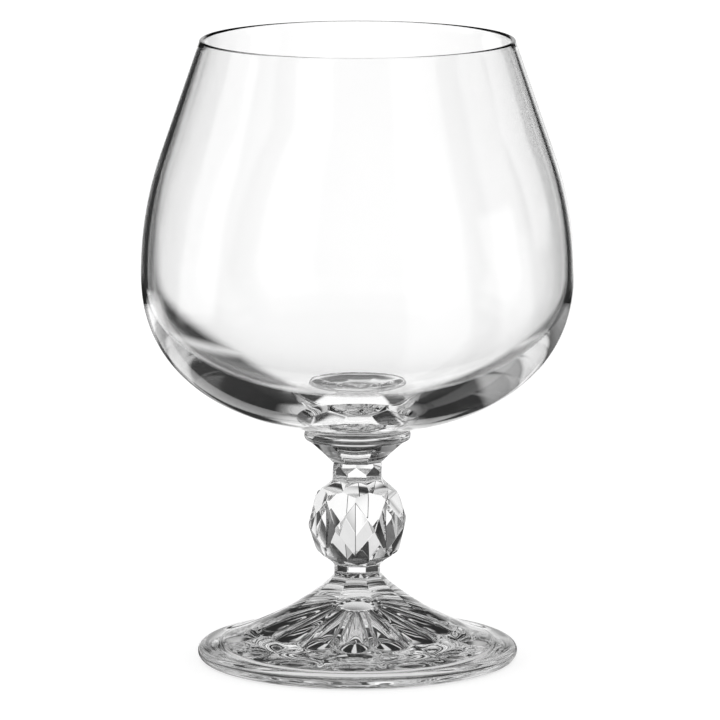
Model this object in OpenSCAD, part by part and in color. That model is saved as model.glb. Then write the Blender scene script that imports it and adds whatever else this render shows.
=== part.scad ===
// Brandy snifter of clear glass: a thin blown bowl, a flared collar, a short stem with a faceted
// knop, and a bell-shaped foot with a pressed rosette underneath. The four pieces meet face to face
// where the hot glass was joined. Lengths are in millimetres, +Z is up, and the origin is on the
// axis at the level of the table.

/* [Bowl] */
// Greatest outside diameter of the bowl
bowl_d = 80.8; // [72:0.2:92]
// Outside diameter at the rim
rim_d = 58.8; // [50:0.2:66]
// Height from the joint with the collar to the widest level
belly_h = 30; // [26:0.2:34]
// Height from the widest level to the rim
upper_h = 43.6; // [36:0.2:52]
// Radius of the long curve from the belly into the straight upper wall
shoulder_r = 68; // [55:1:80]
// Fullness of the rounded lower part, where 2 is an ellipse
belly_fullness = 2.25; // [2:0.05:2.6]
// Wall thickness at the widest level
wall_t = 1.2; // [1:0.1:2.6]
// Wall thickness at the rounded rim
rim_t = 0.9; // [0.8:0.1:1.8]
// Glass between the joint and the lowest point of the inside
floor_t = 4.5; // [3:0.1:7]
// Diameter of the pad that the bowl and the collar share
pad_d = 19; // [16:0.2:22]
// Height of the pad below the rounded bowl
pad_h = 0.4; // [0.2:0.1:1.2]

/* [Collar] */
// Height of the collar
collar_h = 5.8; // [4.8:0.1:8]
// Thickness of its rounded edge
collar_edge_t = 1.6; // [1:0.1:2.4]
// How far the rounded edge stands out past the pad
collar_edge_w = 0.5; // [0.3:0.1:1]

/* [Stem] */
// Diameter of the neck above the knop
upper_neck_d = 9.1; // [8:0.1:11]
// Height of that neck
upper_neck_h = 3.3; // [1:0.1:5]
// Rise of the hollow shoulder above the faceted belt
upper_shoulder_h = 3.3; // [2.5:0.1:6]
// Diameter of the knop across the corners between its grooves
knop_d = 19.4; // [16:0.1:22]
// Height of the faceted belt of the knop
belt_h = 10; // [8:0.2:14]
// Number of diamond-shaped grooves round the knop
groove_count = 8; // [6:1:12]
// Depth of a groove below the straight line between its two corners
groove_depth = 1.1; // [0.6:0.1:1.6]
// Upright edge left between neighbouring grooves
corner_land = 0.4; // [0.2:0.1:0.8]
// Drop of the hollow shoulder below the belt
lower_shoulder_h = 3; // [2.5:0.1:6]
// Diameter of the neck below the knop
lower_neck_d = 8.5; // [8:0.1:11]
// Height of that neck
lower_neck_h = 2; // [0.4:0.1:4]

/* [Foot] */
// Diameter of the foot
foot_d = 60; // [54:0.5:70]
// Height of the foot, from the table to the stem
foot_h = 16; // [13:0.2:19]
// Thickness of the foot at its rounded edge
foot_edge_t = 3; // [2.4:0.1:4]
// Width of the rounding at the edge
foot_edge_w = 1.8; // [1.2:0.1:2.6]
// Width of the flat ring that stands on the table
rest_ring_w = 3; // [2:0.2:4]
// Height of the slope just inside that ring
recess_h = 0.5; // [0.3:0.1:1]
// Height of the hollow underneath at the wide ends of the flutes
waist_h = 1.6; // [1.2:0.1:2.4]
// Height of the hollow at its level middle
hub_h = 6.6; // [5:0.1:8]
// Diameter of that middle
hub_d = 6.2; // [5:0.2:8]

/* [Rosette] */
// Number of petals, and of flutes inside them, in the hollow
petal_count = 12; // [10:1:16]
// Length of a petal along the hollow
petal_l = 8; // [6:0.2:9]
// Depth of a petal
petal_depth = 0.45; // [0.3:0.05:1.2]
// Distance from the axis to the wide ends of the flutes
flute_r = 13; // [11:0.2:14.4]
// Depth of a flute at its wide end
flute_depth = 1.4; // [0.8:0.1:1.8]
// Depth of a flute at the hub
flute_start_depth = 0.5; // [0.2:0.1:0.8]
// Least width of the rib between neighbouring petals or flutes
rib_w = 0.7; // [0.4:0.1:1]
// Plain glass left between the flutes, the petals and the ring
rosette_gap = 0.7; // [0.3:0.1:1.2]

/* [Hidden] */
$fn = 96;
glass = [0.86, 0.93, 0.95, 0.5];

// Steps along a long curve and along a short one
long_steps = 36;
short_steps = 12;

// How hollow each flare is: 1 is straight, and smaller is more hollow
collar_hollow_share = 0.92;
shoulder_hollow_share = 0.72;
foot_hollow_share = 0.82;

// How far the round blank of the knop stands outside its corners, as a share of their radius
blank_margin_share = 0.03;

// Turn of a round blank as a share of the pitch of its cuts, so that its seam meets no edge of them
seam_share = 0.2;

// Widths of a petal and a flute as shares of their pitch
petal_width_share = 0.97;
flute_width_share = 0.95;

// How far a cutter reaches out of the hollow's surface, into the air below it
cutter_dip = 0.4;

// Radius of the hub of the wheel that presses the petals, as a share of its own radius
hub_share = 0.2;

pad_r = pad_d / 2;
upper_neck_r = upper_neck_d / 2;
lower_neck_r = lower_neck_d / 2;

// Levels in the stem, above the foot
belt_bottom = lower_neck_h + lower_shoulder_h;
belt_mid = belt_bottom + belt_h / 2;
belt_top = belt_bottom + belt_h;
stem_h = belt_top + upper_shoulder_h + upper_neck_h;

// Levels of the joints above the table
collar_z = foot_h + stem_h;
bowl_z = collar_z + collar_h;

// Radii under the foot: where its edge starts to round, and inside the ring
edge_r = foot_d / 2 - foot_edge_w;
ring_r = edge_r - rest_ring_w;

// Corners of the hollow's half outline, from its middle to the ring
hub = [hub_d / 2, hub_h];
waist = [flute_r, waist_h];
brink = [ring_r - recess_h, recess_h];

// Points from [r0, z0] to [r1, z1] on a hollow curve, upright at the first and level at the second
function flare(r0, z0, r1, z1, share) = [
    for (i = [0 : long_steps])
    let (a = 90 * i / long_steps)
    [r0 + (r1 - r0) * pow(sin(a), 2 / share), z1 + (z0 - z1) * pow(cos(a), 2 / share)]
];

// Points on an ellipse with half-axes rx and rz, from angle a0 to a1
function oval(mid, rx, rz, a0, a1) = [
    for (i = [0 : short_steps])
    let (a = a0 + (a1 - a0) * i / short_steps)
    mid + [rx * cos(a), rz * sin(a)]
];

// The rounded lower part of the bowl from radius r out to its widest level, r_max wide and h deep
function round_bottom(r, r_max, h) =
    let (start = asin(pow(r / r_max, belly_fullness / 2)))
    [
        for (i = [0 : long_steps])
        let (a = start + (90 - start) * i / long_steps)
        [r_max * pow(sin(a), 2 / belly_fullness), belly_h - h * pow(cos(a), 2 / belly_fullness)]
    ];

// The long curve above the widest level, up to where a straight wall to the rim touches it
function shoulder(r_max, rim) =
    let (mid = [r_max - shoulder_r, belly_h])
    let (to_rim = rim - mid)
    let (reach = max(norm(to_rim), shoulder_r))
    let (end = atan2(to_rim[1], to_rim[0]) - acos(shoulder_r / reach))
    [
        for (i = [1 : short_steps])
        let (a = end * i / short_steps)
        mid + shoulder_r * [cos(a), sin(a)]
    ];

function reversed(points) = [for (i = [len(points) - 1 : -1 : 0]) points[i]];

// Radius of the arc that spans a chord and rises by a height in its middle
function arc_radius(chord, rise) = chord * chord / (8 * rise) + rise / 2;

module bowl() {
    bowl_r = bowl_d / 2;
    lip_mid = [(rim_d - rim_t) / 2, belly_h + upper_h - rim_t / 2];
    lip = oval(lip_mid, rim_t / 2, rim_t / 2, 0, 180);
    outside = concat(
        round_bottom(pad_r, bowl_r, belly_h - pad_h),
        shoulder(bowl_r, lip[0])
    );
    inside = concat(
        round_bottom(0, bowl_r - wall_t, belly_h - floor_t),
        shoulder(bowl_r - wall_t, lip[short_steps])
    );
    color(glass)
        translate([0, 0, bowl_z])
        rotate_extrude()
        polygon(concat([[0, 0], [pad_r, 0]], outside, lip, reversed(inside)));
}

module collar() {
    edge_mid = [pad_r, collar_h - collar_edge_t / 2];
    edge = oval(edge_mid, collar_edge_w, collar_edge_t / 2, -90, 90);
    side = flare(upper_neck_r, 0, pad_r, collar_h - collar_edge_t, collar_hollow_share);
    color(glass)
        translate([0, 0, collar_z])
        rotate_extrude()
        polygon(concat([[0, 0]], side, edge, [[0, collar_h]]));
}

// The round blank of the stem, before its facets are ground
module stem_blank() {
    blank_r = knop_d / 2 * (1 + blank_margin_share);
    lower = flare(lower_neck_r, lower_neck_h, blank_r, belt_bottom, shoulder_hollow_share);
    upper = flare(upper_neck_r, belt_top + upper_shoulder_h, blank_r, belt_top, shoulder_hollow_share);
    rotate_extrude()
        polygon(concat(
            [[0, 0], [lower_neck_r, 0]],
            lower,
            reversed(upper),
            [[upper_neck_r, stem_h], [0, stem_h]]
        ));
}

// What a flat wheel takes off: all past a plane that is r from the axis at level z and leans in
module ground_off(r, z, lean) {
    wheel = 2 * knop_d;
    translate([r, 0, z])
        rotate([0, -lean, 0])
        translate([0, -wheel / 2, -wheel / 2])
        cube(wheel);
}

// The upright V that a pointed wheel cuts, with its bottom on X and its sides through two corners
module mitre_cut(bottom, corner) {
    side = corner - bottom;
    far = bottom + side * (2 * knop_d / norm(side));
    linear_extrude(stem_h)
        polygon([bottom, [far[0], -far[1]], far]);
}

module stem() {
    half_step = 180 / groove_count;
    corner_r = knop_d / 2;
    corner = corner_r * [cos(half_step), sin(half_step)];
    bottom = [corner[0] - groove_depth, 0];
    land = corner_land / 2;
    lean = atan((corner_r - bottom[0] * cos(half_step)) / (belt_h / 2 - land));
    color(glass)
        translate([0, 0, foot_h])
        difference() {
            rotate([0, 0, seam_share * 360 / groove_count]) stem_blank();
            for (i = [0 : groove_count - 1])
                rotate([0, 0, 2 * half_step * i - 90]) {
                    mitre_cut(bottom, corner);
                    rotate([0, 0, half_step]) {
                        ground_off(corner_r, belt_mid + land, lean);
                        ground_off(corner_r, belt_mid - land, -lean);
                    }
                }
        }
}

module foot_blank() {
    edge = oval([edge_r, foot_edge_t / 2], foot_edge_w, foot_edge_t / 2, 90, -90);
    top = flare(lower_neck_r, foot_h, edge_r, foot_edge_t, foot_hollow_share);
    rotate_extrude()
        polygon(concat([[0, foot_h]], top, edge, [[ring_r, 0], brink, waist, hub, [0, hub_h]]));
}

// A cutter's part in its own sector: its X runs down the slope between two corners, from the middle
module pressed(inner, outer) {
    half_step = 180 / petal_count;
    tip = rib_w / 2 / sin(half_step);
    side = edge_r * tan(half_step);
    mid = (inner + outer) / 2;
    fall = inner - outer;
    intersection() {
        translate([tip, 0, 0])
            linear_extrude(foot_h)
            polygon([[0, 0], [edge_r, -side], [edge_r, side]]);
        translate([mid[0], 0, mid[1]])
            rotate([0, atan2(fall[1], -fall[0]), 0])
            intersection() {
                children();
                translate([-edge_r, -edge_r, -cutter_dip]) cube([2 * edge_r, 2 * edge_r, foot_h]);
            }
    }
}

// An oval hollow on the outer slope, as a round-edged wheel presses it
module petal() {
    slope = waist - brink;
    inner = brink + slope * ((petal_l + 2 * rosette_gap) / norm(slope));
    wheel_r = arc_radius(petal_l, petal_depth);
    tread_r = arc_radius(petal_width_share * PI * (brink[0] + inner[0]) / petal_count, petal_depth);
    pressed(inner, brink)
        translate([0, 0, petal_depth - wheel_r])
        rotate([90, 0, 0])
        rotate_extrude()
        intersection() {
            translate([wheel_r - tread_r, 0]) circle(r = tread_r);
            translate([wheel_r * hub_share, -tread_r]) square([wheel_r, 2 * tread_r]);
        }
}

// A round channel on the inner slope that widens and deepens outwards from the hub
module flute() {
    reach = norm(waist - hub);
    end_r = arc_radius(flute_width_share * 2 * PI * flute_r / petal_count, flute_depth);
    drop = end_r - flute_depth;
    pressed(hub, waist)
        translate([-reach / 2, 0, -drop])
        rotate([0, 90, 0])
        cylinder(h = reach - rosette_gap, r1 = drop + flute_start_depth, r2 = end_r);
}

module foot() {
    color(glass)
        difference() {
            rotate([0, 0, seam_share * 360 / petal_count]) foot_blank();
            for (i = [0 : petal_count - 1])
                rotate([0, 0, 360 / petal_count * i - 90]) {
                    petal();
                    flute();
                }
        }
}

bowl();
collar();
stem();
foot();
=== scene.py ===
import math

import bmesh
import bpy
from bpy.props import FloatProperty, FloatVectorProperty, IntProperty, PointerProperty
from mathutils import Matrix, Vector


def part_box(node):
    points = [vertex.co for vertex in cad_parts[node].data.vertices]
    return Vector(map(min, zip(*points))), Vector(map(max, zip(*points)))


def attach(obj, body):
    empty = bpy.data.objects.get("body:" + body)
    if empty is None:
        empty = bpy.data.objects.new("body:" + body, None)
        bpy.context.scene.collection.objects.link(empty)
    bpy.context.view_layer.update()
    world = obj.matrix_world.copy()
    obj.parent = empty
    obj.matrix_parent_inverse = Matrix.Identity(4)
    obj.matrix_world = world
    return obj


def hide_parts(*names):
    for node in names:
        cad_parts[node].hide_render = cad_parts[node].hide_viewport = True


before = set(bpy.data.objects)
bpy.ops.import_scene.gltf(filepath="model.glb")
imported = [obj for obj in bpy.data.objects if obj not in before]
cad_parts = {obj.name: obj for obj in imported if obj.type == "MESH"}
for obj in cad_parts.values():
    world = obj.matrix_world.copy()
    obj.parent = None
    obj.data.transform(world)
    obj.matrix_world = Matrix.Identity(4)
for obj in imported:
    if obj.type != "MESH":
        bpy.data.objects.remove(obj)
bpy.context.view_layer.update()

bl_info = {
    "name": "Brandy Snifter",
    "version": (1, 0, 0),
    "blender": (4, 5, 0),
    "location": "View3D > Sidebar > Snifter",
    "description": "Models a clear brandy snifter with a faceted knop and a pressed foot, and its stage",
    "category": "Object",
}

BODY = "root"
LEVEL = {node: (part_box(node)[0].z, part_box(node)[1].z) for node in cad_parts}

# Steps along the curves of an outline, and round the axis
LONG_STEPS = 64
SHORT_STEPS = 16
BELL_STEPS = 48
UNDERSIDE_STEPS = (44, 44, 8)
ROUND_STEPS = 256
FOOT_STEPS = 576

# Metres: a new primitive, the radius that flat sides are cast towards, points that are merged, points that count
# as being at one level, and next to nothing
DRAW_SIZE = 0.001
CAST_REACH = 0.1
WELD = 1e-7
NEAR = 10 * WELD
TINY = 1e-9

# Decimals of a distance from the axis that tell the rings of the underside apart
RING_DECIMALS = 6

# Least upright part of a level face's normal
LEVEL_NORMAL = 0.999

# Edges that turn by more degrees than these stay sharp
TURNED_SHARP = 50
GROUND_SHARP = 12
PRESSED_SHARP = 40

# Refraction and finish of the glass: where the noise turns from one tint to the other and from smooth to dull
GLASS_IOR = 1.52
TINT_EDGES = (0.35, 0.65)
DULL_EDGES = (0.45, 0.9)
DULL_ROUGHNESS = 0.012

WHITE = (1, 1, 1, 1)
BLACK = (0, 0, 0, 1)


def length(name, description, default):
    """A size in metres that the sidebar shows with its unit."""
    return FloatProperty(
        name=name,
        description=description,
        default=default,
        min=0,
        unit="LENGTH",
        subtype="DISTANCE",
        precision=4,
    )


def angle(name, description, degrees):
    """An angle, given in degrees."""
    return FloatProperty(name=name, description=description, default=math.radians(degrees), subtype="ANGLE")


def count(name, description, default, least):
    """A whole number."""
    return IntProperty(name=name, description=description, default=default, min=least)


def share(name, description, default):
    """A number without a unit."""
    return FloatProperty(name=name, description=description, default=default, min=0, precision=3)


def tint(name, description, default):
    """A colour without alpha."""
    return FloatVectorProperty(
        name=name, description=description, default=default, min=0, max=1, size=3, subtype="COLOR"
    )


class BowlSizes(bpy.types.PropertyGroup):
    """Sizes of the blown bowl."""

    width: length("Width", "Greatest outside diameter", 0.0808)
    rim_width: length("Rim Width", "Outside diameter at the rim", 0.0588)
    belly_height: length("Belly Height", "From the joint to the widest level", 0.030)
    upper_height: length("Upper Height", "From the widest level to the rim", 0.0436)
    shoulder_radius: length("Shoulder Radius", "Radius of the curve above the widest level", 0.068)
    fullness: share("Fullness", "Fullness of the rounded lower part, where 2 is an ellipse", 2.25)
    wall: length("Wall", "Wall thickness at the widest level", 0.0012)
    rim_wall: length("Rim Wall", "Wall thickness at the rounded rim", 0.0009)
    floor: length("Floor", "Glass between the joint and the lowest point inside", 0.0045)
    pad_width: length("Pad Width", "Diameter of the pad that bowl and collar share", 0.019)
    pad_height: length("Pad Height", "Height of that pad", 0.0004)


class CollarSizes(bpy.types.PropertyGroup):
    """Sizes of the flared collar."""

    edge: length("Edge", "Thickness of the rounded edge", 0.0016)
    overhang: length("Overhang", "How far the edge stands out past the pad", 0.0005)
    hollow: share("Hollow", "How hollow the flare is, where 1 is straight", 0.92)


class StemSizes(bpy.types.PropertyGroup):
    """Sizes of the stem and its knop."""

    upper_neck: length("Upper Neck", "Diameter of the neck above the knop", 0.0091)
    upper_shoulder: length("Upper Shoulder", "Rise of the hollow shoulder above the belt", 0.0033)
    knop: length("Knop", "Diameter across the corners between the grooves", 0.0194)
    belt: length("Belt", "Height of the faceted belt", 0.010)
    grooves: count("Grooves", "Diamond-shaped grooves round the knop", 8, least=4)
    groove_depth: length("Groove Depth", "Depth of a groove below the line between its corners", 0.0011)
    land: length("Land", "Upright edge between neighbouring grooves", 0.0004)
    lower_shoulder: length("Lower Shoulder", "Drop of the hollow shoulder below the belt", 0.003)
    lower_neck: length("Lower Neck", "Diameter of the neck below the knop", 0.0085)
    lower_neck_height: length("Lower Neck Height", "Height of that neck", 0.002)
    sides: count("Sides", "Flat sides of the necks", 8, least=4)
    hollow: share("Hollow", "How hollow the shoulders are, where 1 is straight", 0.72)
    margin: share("Margin", "How far the round blank stands outside the corners, as a share", 0.03)
    arris: length("Arris", "Width of the polish on the edges between facets", 0.00014)


class FootSizes(bpy.types.PropertyGroup):
    """Sizes of the pressed foot."""

    width: length("Width", "Diameter of the foot", 0.060)
    edge: length("Edge", "Thickness at the rounded edge", 0.003)
    rounding: length("Rounding", "Width of the rounding at the edge", 0.0018)
    ring: length("Ring", "Width of the flat ring on the table", 0.003)
    recess: length("Recess", "Height of the slope inside that ring", 0.0005)
    waist_height: length("Waist Height", "Height of the hollow at the wide end of the flutes", 0.0016)
    hub_width: length("Hub Width", "Diameter of the level middle of the hollow", 0.0062)
    hub_height: length("Hub Height", "Height of the hollow in its middle", 0.0066)
    hollow: share("Hollow", "How hollow the bell is, where 1 is straight", 0.82)
    side_reach: length("Side Reach", "From the axis to where the flat sides of the neck run out", 0.013)
    petals: count("Petals", "Petals, and flutes inside them", 12, least=6)
    petal_length: length("Petal Length", "Length of a petal along the hollow", 0.008)
    petal_depth: length("Petal Depth", "Depth of a petal", 0.00045)
    petal_spread: share("Petal Spread", "Width of a petal as a share of its pitch", 0.97)
    flute_reach: length("Flute Reach", "From the axis to the wide end of a flute", 0.013)
    flute_depth: length("Flute Depth", "Depth of a flute at its wide end", 0.0014)
    flute_start: length("Flute Start", "Depth of a flute at the hub", 0.0005)
    flute_spread: share("Flute Spread", "Width of a flute as a share of its pitch", 0.95)
    rib: length("Rib", "Least width of the rib between neighbours", 0.0007)
    gap: length("Gap", "Plain glass between flutes, petals and ring", 0.0007)
    softness: length("Softness", "How far the edges of the pressing are rounded", 0.00016)


class GlassFinish(bpy.types.PropertyGroup):
    """Colours and surface of the glass."""

    blown: tint("Blown Glass", "Clear glass of the bowl", (0.995, 0.995, 0.995))
    blown_deep: tint("Blown Glass, Deep", "The same where it is a shade darker", (0.985, 0.985, 0.985))
    pressed: tint("Pressed Glass", "Clear glass of the collar, stem and foot", (0.99, 0.99, 0.99))
    pressed_deep: tint("Pressed Glass, Deep", "The same where it is a shade darker", (0.97, 0.97, 0.97))


class StageSizes(bpy.types.PropertyGroup):
    """Floor, light and camera."""

    floor: tint("Floor", "Pale paper of the floor", (0.9, 0.9, 0.9))
    floor_radius: length("Floor Radius", "Radius of the floor", 6.0)
    distance: length("Distance", "From the axis to the camera, along the floor", 1.24536)
    height: length("Height", "Height of the camera above the floor", 0.26706)
    azimuth: angle("Azimuth", "Turn of the camera round the glass", 3)
    dip: angle("Dip", "How far the camera looks down", 9.589)
    pan: angle("Pan", "How far the camera looks past the axis", 0.0212)
    lens: FloatProperty(name="Lens", description="Focal length", default=338.1, min=1, unit="CAMERA")


class SnifterSettings(bpy.types.PropertyGroup):
    """All that a user would change."""

    bowl: PointerProperty(type=BowlSizes)
    collar: PointerProperty(type=CollarSizes)
    stem: PointerProperty(type=StemSizes)
    foot: PointerProperty(type=FootSizes)
    glass: PointerProperty(type=GlassFinish)
    stage: PointerProperty(type=StageSizes)


def spread(start, end, steps):
    """Evenly spaced numbers from start to end, both included."""
    return [start + (end - start) * i / steps for i in range(steps + 1)]


def hollow_flare(start, end, hollow, steps=LONG_STEPS):
    """A hollow curve between two points of a half outline, upright at the first and level at the second."""
    power = 2 / hollow
    return [
        (
            start[0] + (end[0] - start[0]) * math.sin(a) ** power,
            end[1] + (start[1] - end[1]) * abs(math.cos(a)) ** power,
        )
        for a in spread(0, math.pi / 2, steps)
    ]


def oval(middle, wide, high, start, end):
    """Part of an ellipse, between two angles in degrees."""
    return [
        (middle[0] + wide * math.cos(a), middle[1] + high * math.sin(a))
        for a in spread(math.radians(start), math.radians(end), SHORT_STEPS)
    ]


def rounded_bottom(reach, widest, middle, drop, fullness):
    """The lower part of the bowl, from a radius out to its widest level."""
    start = math.asin((reach / widest) ** (fullness / 2))
    power = 2 / fullness
    return [
        (widest * math.sin(a) ** power, middle - drop * abs(math.cos(a)) ** power)
        for a in spread(start, math.pi / 2, LONG_STEPS)
    ]


def shoulder(widest, middle, radius, rim):
    """The curve above the widest level, up to where a straight wall to the rim touches it."""
    across, up = rim[0] - (widest - radius), rim[1] - middle
    end = math.atan2(up, across) - math.acos(radius / max(math.hypot(across, up), radius))
    arc = [
        (widest - radius + radius * math.cos(a), middle + radius * math.sin(a))
        for a in spread(0, end, SHORT_STEPS)[1:]
    ]
    wall = [
        (arc[-1][0] + (rim[0] - arc[-1][0]) * t, arc[-1][1] + (rim[1] - arc[-1][1]) * t)
        for t in spread(0, 1, SHORT_STEPS)[1:-1]
    ]
    return arc + wall


def arc_radius(chord, rise):
    """Radius of the arc that spans a chord and rises by a height in its middle."""
    return chord * chord / (8 * rise) + rise / 2


def blend_most(a, b, soft):
    """The greater of two heights, rounded over where they cross."""
    return (a + b + math.sqrt((a - b) ** 2 + soft * soft)) / 2


def blend_least(a, b, soft):
    """The lesser of two heights, rounded over where they cross."""
    return (a + b - math.sqrt((a - b) ** 2 + soft * soft)) / 2


def lifted(points, level):
    """A half outline moved up to its level."""
    return [(r, z + level) for r, z in points]


def clear_selection():
    """Leaves edit mode and deselects everything, the loaded nodes too."""
    if bpy.context.object and bpy.context.object.mode != "OBJECT":
        bpy.ops.object.mode_set(mode="OBJECT")
    bpy.ops.object.select_all(action="DESELECT")


def draw_outline(name, points):
    """Starts a piece: one vertex, drawn on from point to point of a half outline, in edit mode."""
    clear_selection()
    bpy.ops.mesh.primitive_plane_add(size=DRAW_SIZE, location=(points[0][0], 0, points[0][1]))
    piece = bpy.context.object
    piece.name = piece.data.name = name
    bpy.ops.object.transform_apply(location=True, rotation=True, scale=True)
    bpy.ops.object.mode_set(mode="EDIT")
    bpy.ops.mesh.select_all(action="SELECT")
    bpy.ops.mesh.merge(type="CENTER")
    for here, there in zip(points, points[1:]):
        step = (there[0] - here[0], 0, there[1] - here[1])
        bpy.ops.mesh.extrude_vertices_move(TRANSFORM_OT_translate={"value": step})
    return piece


def turn(piece, steps):
    """Turns the outline once round the axis, closes the seam and the poles, and stays in edit mode."""
    bpy.ops.object.mode_set(mode="OBJECT")
    lathe = piece.modifiers.new("lathe", "SCREW")
    lathe.angle = 2 * math.pi
    lathe.steps = lathe.render_steps = steps
    lathe.use_merge_vertices = True
    lathe.merge_threshold = WELD
    bpy.ops.object.modifier_apply(modifier=lathe.name)
    bpy.ops.object.mode_set(mode="EDIT")
    bpy.ops.mesh.select_all(action="SELECT")
    bpy.ops.mesh.remove_doubles(threshold=WELD)
    bpy.ops.mesh.normals_make_consistent(inside=False)


def from_middle(turned, half_step):
    """An angle round the axis, from the middle of the share that it is in; the first share faces the front."""
    return (turned + math.pi / 2 + half_step) % (2 * half_step) - half_step


def flatten_sides(piece, sides, start, end, facing=-1):
    """Gives a turned neck flat sides, which run out on a flare between two distances from the axis.

    Points whose normal has a lower upright part than facing stay where they are.
    """
    bpy.ops.object.mode_set(mode="OBJECT")
    half_step = math.pi / sides
    group = piece.vertex_groups.new(name="flat_sides")
    for vertex in piece.data.vertices:
        reach = math.hypot(vertex.co.x, vertex.co.y)
        if TINY < reach < end and vertex.normal.z >= facing:
            local = from_middle(math.atan2(vertex.co.y, vertex.co.x), half_step)
            bulge = reach * (1 / math.cos(local) - 1) * min((end - reach) / (end - start), 1)
            group.add([vertex.index], bulge / (CAST_REACH - reach), "REPLACE")
    cast = piece.modifiers.new("flat_sides", "CAST")
    cast.cast_type = "CYLINDER"
    cast.factor = 1
    cast.use_radius_as_size = False
    cast.size = CAST_REACH
    cast.vertex_group = group.name
    bpy.ops.object.modifier_apply(modifier=cast.name)
    piece.vertex_groups.clear()
    bpy.ops.object.mode_set(mode="EDIT")


def pick(piece, kind, test):
    """Selects, in edit mode, only the faces or edges that pass a test."""
    bpy.ops.mesh.select_all(action="DESELECT")
    bpy.ops.mesh.select_mode(type=kind)
    draft = bmesh.from_edit_mesh(piece.data)
    for item in draft.faces if kind == "FACE" else draft.edges:
        if test(item):
            item.select_set(True)
    bmesh.update_edit_mesh(piece.data)


def is_level(face, level):
    """Whether a face lies flat at a level."""
    return abs(face.normal.z) > LEVEL_NORMAL and abs(face.calc_center_median().z - level) < NEAR


def finish_piece(piece, node, glass, joints, sharp):
    """Gives a turned piece its glass, its fused joint faces and its place in the frame."""
    piece.data.materials.append(glass)
    piece.data.materials.append(fused_joint())
    pick(piece, "FACE", lambda face: any(is_level(face, level) for level in joints))
    piece.active_material_index = 1
    bpy.ops.object.material_slot_assign()
    bpy.ops.mesh.select_mode(type="VERT")
    bpy.ops.object.mode_set(mode="OBJECT")
    bpy.ops.object.shade_smooth_by_angle(angle=math.radians(sharp))
    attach(piece, BODY)
    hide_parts(node)


class Value:
    """A number on its way through a node tree; sums and products of values add Math nodes."""

    def __init__(self, bench, socket):
        self.bench = bench
        self.socket = socket

    def math(self, operation, *others):
        """The Math node for an operation on this value and others."""
        entries = dict(enumerate((self, *others)))
        return self.bench.node("ShaderNodeMath", {"operation": operation}, entries)

    def __add__(self, other):
        return self.math("ADD", other)

    def __radd__(self, other):
        return self.math("ADD", other)

    def __sub__(self, other):
        return self.math("SUBTRACT", other)

    def __rsub__(self, other):
        return (self * -1) + other

    def __mul__(self, other):
        return self.math("MULTIPLY", other)

    def __rmul__(self, other):
        return self.math("MULTIPLY", other)

    def __truediv__(self, other):
        return self.math("DIVIDE", other)

    def __pow__(self, other):
        return self.math("POWER", other)

    def most(self, other):
        """The greater of two values."""
        return self.math("MAXIMUM", other)

    def between(self, low, high):
        """0 below low, 1 above high, and smooth between them."""
        entries = {"Value": self, "From Min": low, "From Max": high}
        return self.bench.node("ShaderNodeMapRange", {"interpolation_type": "SMOOTHSTEP"}, entries)


class Bench:
    """The nodes of one material or world."""

    def __init__(self, tree):
        self.tree = tree
        tree.nodes.clear()

    def node(self, kind, settings=None, sockets=None, output=0):
        """Adds a node, with its settings first and then the values or links of its sockets."""
        made = self.tree.nodes.new(kind)
        for name, value in (settings or {}).items():
            setattr(made, name, value)
        for name, value in (sockets or {}).items():
            entry = made.inputs[name]
            if isinstance(value, Value):
                self.tree.links.new(value.socket, entry)
            else:
                entry.default_value = value
        return Value(self, made.outputs[output] if made.outputs else None)


def opaque(colour):
    """A colour with full alpha, as a socket takes it."""
    return (*colour, 1)


def glass_material(name, light, deep, cloud_scale, ripple_scale, ripple_depth, ripple_strength):
    """Clear glass with faint ripples and a faint change of tint over its surface."""
    material = bpy.data.materials.new(name)
    material.use_nodes = True
    bench = Bench(material.node_tree)
    place = bench.node("ShaderNodeTexCoord", output="Object")
    cloud = bench.node("ShaderNodeTexNoise", sockets={"Vector": place, "Scale": cloud_scale, "Detail": 2})
    ripple = bench.node("ShaderNodeTexNoise", sockets={"Vector": place, "Scale": ripple_scale, "Detail": 1})
    colour = bench.node(
        "ShaderNodeMix",
        {"data_type": "RGBA"},
        {"Factor": cloud.between(*TINT_EDGES), 6: opaque(light), 7: opaque(deep)},
        output=2,
    )
    bump = bench.node(
        "ShaderNodeBump", sockets={"Height": ripple, "Strength": ripple_strength, "Distance": ripple_depth}
    )
    surface = bench.node(
        "ShaderNodeBsdfPrincipled",
        sockets={
            "Base Color": colour,
            "Roughness": cloud.between(*DULL_EDGES) * DULL_ROUGHNESS,
            "IOR": GLASS_IOR,
            "Transmission Weight": 1.0,
            "Normal": bump,
        },
    )
    bench.node("ShaderNodeOutputMaterial", sockets={"Surface": surface})
    return material


def blown_glass():
    """The thin, even glass of the bowl."""
    colours = bpy.context.scene.snifter.glass
    return glass_material(
        "clear_blown_glass",
        colours.blown,
        colours.blown_deep,
        cloud_scale=30,
        ripple_scale=45,
        ripple_depth=0.0002,
        ripple_strength=0.03,
    )


def pressed_glass():
    """The thicker glass of collar, stem and foot, a little wavy from the mould."""
    found = bpy.data.materials.get("clear_pressed_glass")
    if found:
        return found
    colours = bpy.context.scene.snifter.glass
    return glass_material(
        "clear_pressed_glass",
        colours.pressed,
        colours.pressed_deep,
        cloud_scale=60,
        ripple_scale=260,
        ripple_depth=0.0002,
        ripple_strength=0.02,
    )


def fused_joint():
    """The faces where two pieces were melted together, which light passes unbent."""
    found = bpy.data.materials.get("fused_joint")
    if found:
        return found
    material = bpy.data.materials.new("fused_joint")
    material.use_nodes = True
    bench = Bench(material.node_tree)
    surface = bench.node("ShaderNodeBsdfPrincipled", sockets={"Base Color": WHITE, "Alpha": 0.0})
    bench.node("ShaderNodeOutputMaterial", sockets={"Surface": surface})
    return material


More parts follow.
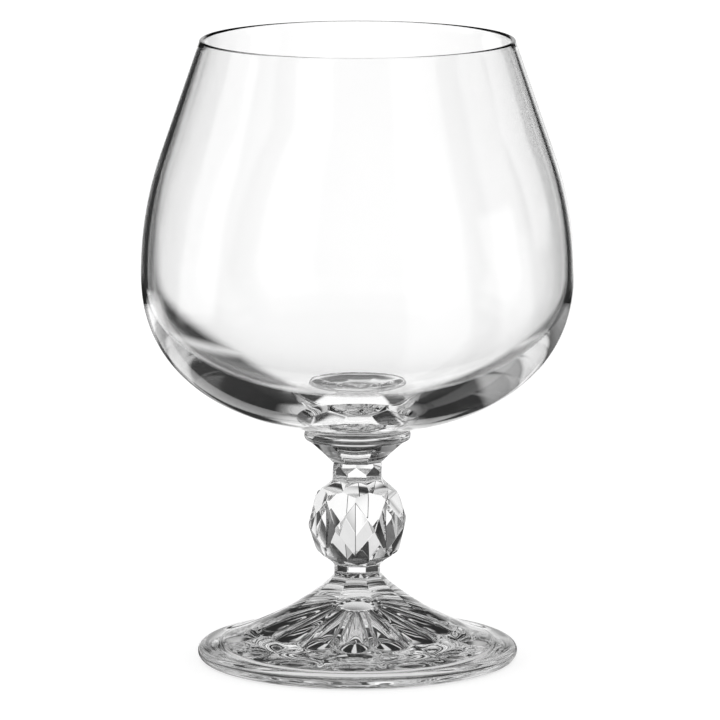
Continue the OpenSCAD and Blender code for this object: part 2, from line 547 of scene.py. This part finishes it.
class SNIFTER_OT_bowl(bpy.types.Operator):
    """Model the blown bowl with its rounded rim and thick floor"""

    bl_idname = "snifter.bowl"
    bl_label = "Blown Bowl"

    def execute(self, context):
        sizes = context.scene.snifter.bowl
        low = LEVEL["bowl"][0]
        pad, widest = sizes.pad_width / 2, sizes.width / 2
        hollow = widest - sizes.wall
        middle = sizes.belly_height
        lip_radius = sizes.rim_wall / 2
        lip_middle = ((sizes.rim_width - sizes.rim_wall) / 2, middle + sizes.upper_height - lip_radius)
        lip = oval(lip_middle, lip_radius, lip_radius, 0, 180)
        outside = rounded_bottom(pad, widest, middle, middle - sizes.pad_height, sizes.fullness)
        outside += shoulder(widest, middle, sizes.shoulder_radius, lip[0])
        inside = rounded_bottom(0, hollow, middle, middle - sizes.floor, sizes.fullness)
        inside += shoulder(hollow, middle, sizes.shoulder_radius, lip[-1])
        outline = [(0, 0), (pad, 0)] + outside + lip + inside[::-1]
        piece = draw_outline("blown_bowl", lifted(outline, low))
        turn(piece, ROUND_STEPS)
        finish_piece(piece, "bowl", blown_glass(), [low], TURNED_SHARP)
        return {"FINISHED"}


class SNIFTER_OT_collar(bpy.types.Operator):
    """Model the flared collar between bowl and stem"""

    bl_idname = "snifter.collar"
    bl_label = "Flared Collar"

    def execute(self, context):
        settings = context.scene.snifter
        sizes = settings.collar
        low, high = LEVEL["collar"]
        pad, neck = settings.bowl.pad_width / 2, settings.stem.upper_neck / 2
        flare = hollow_flare((neck, low), (pad, high - sizes.edge), sizes.hollow)
        edge = oval((pad, high - sizes.edge / 2), sizes.overhang, sizes.edge / 2, -90, 90)
        piece = draw_outline("flared_collar", [(0, low)] + flare + edge + [(0, high)])
        turn(piece, ROUND_STEPS)
        flatten_sides(piece, settings.stem.sides, neck, pad)
        finish_piece(piece, "collar", pressed_glass(), [low, high], TURNED_SHARP)
        return {"FINISHED"}


class SNIFTER_OT_stem(bpy.types.Operator):
    """Model the stem and grind the flat facets of its knop"""

    bl_idname = "snifter.stem"
    bl_label = "Faceted Stem"

    # How many times as large as a groove the pointed wheel is
    WHEEL = 6

    # A ground facet has fewer corners and more area (m2), and turns from the next by more (radians)
    FACET_CORNERS = 60
    FACET_AREA = 1.5e-6
    FACET_TURN = 0.1

    def execute(self, context):
        sizes = context.scene.snifter.stem
        low, high = LEVEL["stem"]
        lower_neck, upper_neck, corner = sizes.lower_neck / 2, sizes.upper_neck / 2, sizes.knop / 2
        blank = corner * (1 + sizes.margin)
        neck_end = low + sizes.lower_neck_height
        belt_low = neck_end + sizes.lower_shoulder
        belt_high = belt_low + sizes.belt
        neck_start = belt_high + sizes.upper_shoulder
        lower = hollow_flare((lower_neck, neck_end), (blank, belt_low), sizes.hollow)
        upper = hollow_flare((upper_neck, neck_start), (blank, belt_high), sizes.hollow)
        outline = [(0, low), (lower_neck, low)] + lower + upper[::-1] + [(upper_neck, high), (0, high)]
        piece = draw_outline("faceted_stem", outline)
        turn(piece, ROUND_STEPS)
        flatten_sides(piece, sizes.sides, upper_neck, corner)
        self.grind(piece, sizes, corner, (belt_low + belt_high) / 2)
        self.polish(piece, sizes.arris)
        finish_piece(piece, "stem", pressed_glass(), [low, high], GROUND_SHARP)
        return {"FINISHED"}

    def grind(self, piece, sizes, corner, middle):
        """Cuts the leaning triangles and, between them, the upright V grooves."""
        half_step = math.pi / sizes.grooves
        bottom = corner * math.cos(half_step) - sizes.groove_depth
        land = sizes.land / 2
        lean = math.atan((corner - bottom * math.cos(half_step)) / (sizes.belt / 2 - land))
        facings = [2 * half_step * number - math.pi / 2 for number in range(sizes.grooves)]
        for facing in facings:
            self.cut(facing + half_step, corner, middle + land, lean)
            self.cut(facing + half_step, corner, middle - land, -lean)
        side = Vector((corner * math.cos(half_step), corner * math.sin(half_step), 0))
        for facing in facings:
            self.groove(piece, facing, Vector((bottom, 0, 0)), side)

    def groove(self, piece, facing, bottom, side):
        """Takes out the upright V that a pointed wheel cuts in one direction."""
        low, high = LEVEL["stem"]
        far = bottom + (side - bottom) * self.WHEEL
        clear_selection()
        bpy.ops.mesh.primitive_circle_add(vertices=3, radius=DRAW_SIZE, fill_type="NGON")
        wheel = bpy.context.object
        for vertex, place in zip(wheel.data.vertices, (bottom, far, Vector((far.x, -far.y, 0)))):
            vertex.co = Matrix.Rotation(facing, 3, "Z") @ place + Vector((0, 0, low - DRAW_SIZE))
        bpy.ops.object.mode_set(mode="EDIT")
        bpy.ops.mesh.select_all(action="SELECT")
        rise = high - low + 2 * DRAW_SIZE
        bpy.ops.mesh.extrude_region_move(TRANSFORM_OT_translate={"value": (0, 0, rise)})
        bpy.ops.mesh.select_all(action="SELECT")
        bpy.ops.mesh.normals_make_consistent(inside=False)
        clear_selection()
        piece.select_set(True)
        bpy.context.view_layer.objects.active = piece
        mitre = piece.modifiers.new("mitre", "BOOLEAN")
        mitre.operation = "DIFFERENCE"
        mitre.solver = "EXACT"
        mitre.object = wheel
        bpy.ops.object.modifier_apply(modifier=mitre.name)
        bpy.data.meshes.remove(wheel.data)
        bpy.ops.object.mode_set(mode="EDIT")

    def cut(self, facing, reach, level, lean):
        """Takes off all past a plane at a distance from the axis, leaning in by an angle."""
        outward = Vector((math.cos(facing), math.sin(facing), 0))
        normal = outward * math.cos(lean) + Vector((0, 0, math.sin(lean)))
        bpy.ops.mesh.select_all(action="SELECT")
        bpy.ops.mesh.bisect(
            plane_co=outward * reach + Vector((0, 0, level)),
            plane_no=normal,
            use_fill=True,
            clear_outer=True,
            threshold=WELD,
        )

    def polish(self, piece, width):
        """Bevels the straight edges between two facets."""

        def ground(face):
            return len(face.verts) < self.FACET_CORNERS and face.calc_area() > self.FACET_AREA

        def between_facets(edge):
            sides = edge.link_faces
            return len(sides) == 2 and all(map(ground, sides)) and edge.calc_face_angle() > self.FACET_TURN

        pick(piece, "EDGE", between_facets)
        bpy.ops.mesh.bevel(offset=width, segments=2, affect="EDGES", clamp_overlap=True)
        bpy.ops.mesh.select_mode(type="VERT")


class SNIFTER_OT_foot(bpy.types.Operator):
    """Model the bell foot and press the rosette into its underside"""

    bl_idname = "snifter.foot"
    bl_label = "Pressed Foot"

    # Least upright part of the normals on the outside of the bell
    OUTSIDE = -0.3

    # Slopes of the pressing past the wide end of a flute, at the hub and beside a rib
    END_SLOPE = 0.6
    HUB_SLOPE = 3
    RIB_SLOPE = 2

    def execute(self, context):
        settings = context.scene.snifter
        sizes = settings.foot
        low, high = LEVEL["foot"]
        edge_reach = sizes.width / 2 - sizes.rounding
        ring_reach = edge_reach - sizes.ring
        under = ring_reach - sizes.recess
        neck = settings.stem.lower_neck / 2
        bell = hollow_flare((neck, high), (edge_reach, low + sizes.edge), sizes.hollow, BELL_STEPS)
        edge = oval((edge_reach, low + sizes.edge / 2), sizes.rounding, sizes.edge / 2, 90, -90)
        corners = (
            (under, low + sizes.recess),
            (sizes.flute_reach, low + sizes.waist_height),
            (sizes.hub_width / 2, low + sizes.hub_height),
            (0, low + sizes.hub_height),
        )
        underside = [corners[0]]
        for here, there, steps in zip(corners, corners[1:], UNDERSIDE_STEPS):
            reaches, levels = (spread(start, end, steps)[1:] for start, end in zip(here, there))
            underside += zip(reaches, levels)
        piece = draw_outline("pressed_foot", [(0, high)] + bell + edge + [(ring_reach, low)] + underside)
        turn(piece, FOOT_STEPS)
        flatten_sides(piece, settings.stem.sides, neck, sizes.side_reach, facing=self.OUTSIDE)
        self.press(piece, sizes, {round(r, RING_DECIMALS): z for r, z in underside}, under)
        finish_piece(piece, "foot", pressed_glass(), [high], PRESSED_SHARP)
        return {"FINISHED"}

    def press(self, piece, sizes, levels, under):
        """Weights the underside by the depth of the rosette and raises it with a modifier."""
        bpy.ops.object.mode_set(mode="OBJECT")
        deepest = max(sizes.petal_depth, sizes.flute_depth)
        group = piece.vertex_groups.new(name="rosette")
        for vertex in piece.data.vertices:
            reach = math.hypot(vertex.co.x, vertex.co.y)
            level = levels.get(round(reach, RING_DECIMALS))
            if level is not None and abs(vertex.co.z - level) < NEAR and reach < under - NEAR:
                depth = self.depth(sizes, reach, math.atan2(vertex.co.y, vertex.co.x), under)
                group.add([vertex.index], min(depth / deepest, 1), "REPLACE")
        press = piece.modifiers.new("press", "DISPLACE")
        press.direction = "Z"
        press.mid_level = 0
        press.strength = deepest
        press.vertex_group = group.name
        bpy.ops.object.modifier_apply(modifier=press.name)
        bpy.ops.object.mode_set(mode="EDIT")

    def depth(self, sizes, reach, turned, under):
        """Depth of the rosette at a distance from the axis and an angle round it."""
        half_step = math.pi / sizes.petals
        local = from_middle(turned, half_step)
        along, aside = reach * math.cos(local), reach * math.sin(local)
        to_rib = max(reach * math.sin(half_step - abs(local)) - sizes.rib / 2, 0)

        middle = under - sizes.gap - sizes.petal_length / 2
        wheel = arc_radius(sizes.petal_length, sizes.petal_depth)
        petal_width = sizes.petal_spread * 2 * math.pi * middle / sizes.petals
        tread = arc_radius(petal_width, sizes.petal_depth)
        across = wheel - tread + math.sqrt(max(tread * tread - aside * aside, 0))
        petal = math.sqrt(max(across * across - (along - middle) ** 2, 0)) + sizes.petal_depth - wheel

        hub, waist = sizes.hub_width / 2, sizes.flute_reach
        rim = waist - sizes.gap
        flute_width = sizes.flute_spread * 2 * math.pi * waist / sizes.petals
        round_end = arc_radius(flute_width, sizes.flute_depth)
        drop = round_end - sizes.flute_depth
        deeper = sizes.flute_depth - sizes.flute_start
        radius = drop + sizes.flute_start + deeper * (along - hub) / (rim - hub)
        flute = math.sqrt(max(radius * radius - aside * aside, 0)) - drop
        flute = min(flute - self.END_SLOPE * max(along - waist, 0), self.HUB_SLOPE * (along - hub))

        pressed = blend_least(max(petal, flute), self.RIB_SLOPE * to_rib, sizes.softness)
        return max(blend_most(pressed, 0, sizes.softness), 0)


# A distance on the floor that lies past its edge
NO_END = 9

# Lit panels of the set, as the glass sees them: light in the world above the horizon, and light painted on the
# floor below it, where the floor between them is painted dark; where a panel starts past the foot, the dark
# floor before it is a painted shadow of the foot. Each row gives direction (0 is behind the glass and 180 in
# front of it), half width and softness of the sides in degrees; start and end on the floor in metres; top above
# the horizon in degrees, where 0 is a panel on the floor alone; and brightness. A panel that starts at NO_END
# stands above the horizon alone.
PANELS = (
    (0, 16, 2, 0.05, NO_END, 0, 1.0),
    (0, 15, 8, NO_END, NO_END, 13, 0.8),
    (0, 20, 4, 0, 0.033, 0, 1.0),
    (0, 30, 4, 0.05, 0.068, 0, 1.0),
    (0, 30, 4, 0.13, 0.15, 0, 1.0),
    (-24, 8, 3, 0.03, 0.06, 0, 1.0),
    (24, 8, 3, 0.03, 0.06, 0, 1.0),
    (-46, 13, 3, 0, 0.35, 0, 1.0),
    (-62, 14, 4, 0.28, NO_END, 25, 0.45),
    (-90, 14, 4, 0.2, NO_END, 25, 1.0),
    (86, 12, 4, 0, NO_END, 40, 0.6),
    (135, 18, 4, 0, NO_END, 40, 1.0),
    (180, 60, 25, 0, NO_END, 45, 0.55),
)

# Brightness between the panels, and how soft their ends (as a share) and tops (degrees) are
DARK = 0.03
END_SOFTNESS = 0.1
TOP_SOFTNESS = 3

# Light and shade painted on the floor under the foot, which only the glass sees: the brightness of the painted
# shadow of the foot, that of the painted ring of light inside the rim and of the painted light streaks in the
# middle, which stand in for light that the rim and rosette would throw, the number of these, where shade, ring
# and streaks begin or end, and the streaks' edges
PAINTED_FOOT_SHADOW = 0.03
PAINTED_RIM_LIGHT = 0.95
PAINTED_STREAK_LIGHT = 0.9
STREAKS = 12
SHADE_END = (0.025, 0.028)
RING_START = (0.0185, 0.0205)
STREAK_END = (0.01, 0.013)
STREAK_EDGES = (0.5, 0.8)

# The floor's own glow, how much light its paper takes, its corners and how far it lies under the foot
FLOOR_GLOW = 0.75
PAPER_LIGHT = 0.4
FLOOR_CORNERS = 96
FLOOR_DROP = 0.00005

BOUNCES = 32
SENSOR_WIDTH = 36
CLIP_START, CLIP_END = 0.01, 50


def panel_light(x, y, up=None):
    """Brightness of the lit panels at a place on the floor or, with its upward part, in a direction above it."""
    flat = (x * x + y * y) ** 0.5
    total = None
    for facing, half, soft, start, end, top, bright in PANELS:
        if up is not None and top == 0:
            continue
        turned = math.radians(facing)
        toward = (x * math.sin(turned) + y * math.cos(turned)) / (flat + TINY)
        sides = (math.cos(math.radians(half + soft)), math.cos(math.radians(half - soft)))
        lit = toward.between(*sides) * bright
        if up is not None:
            tops = (math.sin(math.radians(top - TOP_SOFTNESS)), math.sin(math.radians(top + TOP_SOFTNESS)))
            lit = lit * (1 - up.between(*tops))
        else:
            if start:
                lit = lit * flat.between(start * (1 - END_SOFTNESS), start * (1 + END_SOFTNESS))
            if end < NO_END:
                lit = lit * (1 - flat.between(end * (1 - END_SOFTNESS), end * (1 + END_SOFTNESS)))
        total = lit if total is None else total.most(lit)
    return total.most(DARK)


def plain_rays(bench):
    """Whether a ray comes from the camera, and whether it comes from there or from a matte surface."""
    camera = bench.node("ShaderNodeLightPath", output="Is Camera Ray")
    diffuse = bench.node("ShaderNodeLightPath", output="Is Diffuse Ray")
    return camera, camera.most(diffuse)


class SNIFTER_OT_stage(bpy.types.Operator):
    """Lay the pale floor, light the set and place the camera"""

    bl_idname = "snifter.stage"
    bl_label = "Stage"

    def execute(self, context):
        sizes = context.scene.snifter.stage
        self.floor(sizes)
        self.light(context.scene)
        self.camera(context.scene, sizes)
        context.scene.view_settings.view_transform = "Standard"
        for bounces in ("max_bounces", "transmission_bounces", "glossy_bounces", "transparent_max_bounces"):
            setattr(context.scene.cycles, bounces, BOUNCES)
        return {"FINISHED"}

    def floor(self, sizes):
        """A wide pale floor just under the foot, with light and shade painted on it that only the glass sees:
        the lit panels, and the shadow, ring of light and light streaks under the foot.
        """
        clear_selection()
        bpy.ops.mesh.primitive_circle_add(
            vertices=FLOOR_CORNERS,
            radius=sizes.floor_radius,
            fill_type="NGON",
            location=(0, 0, -FLOOR_DROP),
        )
        floor = bpy.context.object
        floor.name = floor.data.name = "floor"
        bpy.ops.object.transform_apply(location=True, rotation=True, scale=True)
        material = bpy.data.materials.new("pale_floor")
        material.use_nodes = True
        bench = Bench(material.node_tree)
        place = bench.node("ShaderNodeNewGeometry", output="Position")
        x, y = (bench.node("ShaderNodeSeparateXYZ", sockets={0: place}, output=i) for i in range(2))
        reach = (x * x + y * y) ** 0.5
        # Painted shadow under the foot, with a painted ring of light inside the rim and painted light streaks in
        # the middle; past the foot, the painted panels
        past_painted_shadow = reach.between(*SHADE_END)
        painted_light_streaks = (y.math("ARCTAN2", x) * STREAKS).math("COSINE").between(*STREAK_EDGES)
        under = PAINTED_FOOT_SHADOW + reach.between(*RING_START) * PAINTED_RIM_LIGHT
        under = under + painted_light_streaks * (1 - reach.between(*STREAK_END)) * PAINTED_STREAK_LIGHT
        lit = panel_light(x, y) * past_painted_shadow + (1 - past_painted_shadow) * under
        camera, seen = plain_rays(bench)
        glow = bench.node(
            "ShaderNodeEmission",
            sockets={"Color": WHITE, "Strength": camera * FLOOR_GLOW + (1 - seen) * lit * FLOOR_GLOW},
        )
        matte = bench.node("ShaderNodeBsdfDiffuse", sockets={"Color": opaque(sizes.floor)})
        dark = bench.node("ShaderNodeBsdfDiffuse", sockets={"Color": BLACK})
        paper = bench.node("ShaderNodeMixShader", sockets={0: seen.most(lit) * PAPER_LIGHT, 1: dark, 2: matte})
        both = bench.node("ShaderNodeAddShader", sockets={0: glow, 1: paper})
        bench.node("ShaderNodeOutputMaterial", sockets={"Surface": both})
        floor.data.materials.append(material)

    def light(self, scene):
        """An even white room, in which glass sees lit panels and dark gaps."""
        scene.world = bpy.data.worlds.new("studio")
        scene.world.use_nodes = True
        bench = Bench(scene.world.node_tree)
        place = bench.node("ShaderNodeTexCoord", output="Generated")
        x, y, z = (bench.node("ShaderNodeSeparateXYZ", sockets={0: place}, output=i) for i in range(3))
        lit = panel_light(x, y, up=z)
        plain = plain_rays(bench)[1]
        back = bench.node(
            "ShaderNodeBackground", sockets={"Color": WHITE, "Strength": plain + (1 - plain) * lit}
        )
        bench.node("ShaderNodeOutputWorld", sockets={"Surface": back})

    def camera(self, scene, sizes):
        """The camera at the height and angle of the photograph."""
        data = bpy.data.cameras.new("camera")
        data.lens = sizes.lens
        data.sensor_width = SENSOR_WIDTH
        data.clip_start, data.clip_end = CLIP_START, CLIP_END
        camera = bpy.data.objects.new("camera", data)
        scene.collection.objects.link(camera)
        place = Vector((math.sin(sizes.azimuth), -math.cos(sizes.azimuth), 0)) * sizes.distance
        place.z = sizes.height
        across = Matrix.Rotation(sizes.azimuth - sizes.pan, 4, "Z")
        down = Matrix.Rotation(math.pi / 2 - sizes.dip, 4, "X")
        camera.matrix_world = Matrix.Translation(place) @ (across @ down)
        scene.camera = camera


class SNIFTER_PT_panel(bpy.types.Panel):
    """Sizes, finishes and steps of the snifter"""

    bl_idname = "SNIFTER_PT_panel"
    bl_label = "Snifter"
    bl_space_type = "VIEW_3D"
    bl_region_type = "UI"
    bl_category = "Snifter"

    def draw(self, context):
        settings = context.scene.snifter
        for step, group in STEPS:
            box = self.layout.box()
            for name in getattr(settings, group).bl_rna.properties.keys():
                if name not in ("rna_type", "name"):
                    box.prop(getattr(settings, group), name)
            if step:
                box.operator(step.bl_idname)


STEPS = (
    (None, "glass"),
    (SNIFTER_OT_bowl, "bowl"),
    (SNIFTER_OT_collar, "collar"),
    (SNIFTER_OT_stem, "stem"),
    (SNIFTER_OT_foot, "foot"),
    (SNIFTER_OT_stage, "stage"),
)
CLASSES = (
    BowlSizes,
    CollarSizes,
    StemSizes,
    FootSizes,
    GlassFinish,
    StageSizes,
    SnifterSettings,
    SNIFTER_OT_bowl,
    SNIFTER_OT_collar,
    SNIFTER_OT_stem,
    SNIFTER_OT_foot,
    SNIFTER_OT_stage,
    SNIFTER_PT_panel,
)


def register():
    """Adds the classes, and the settings to the scene."""
    for entry in CLASSES:
        bpy.utils.register_class(entry)
    bpy.types.Scene.snifter = PointerProperty(type=SnifterSettings)


def unregister():
    """Takes the settings and the classes away again."""
    del bpy.types.Scene.snifter
    for entry in reversed(CLASSES):
        bpy.utils.unregister_class(entry)


def main():
    """Makes every piece and the stage."""
    register()
    bpy.ops.snifter.bowl()
    bpy.ops.snifter.collar()
    bpy.ops.snifter.stem()
    bpy.ops.snifter.foot()
    bpy.ops.snifter.stage()


if __name__ == "__main__":
    main()
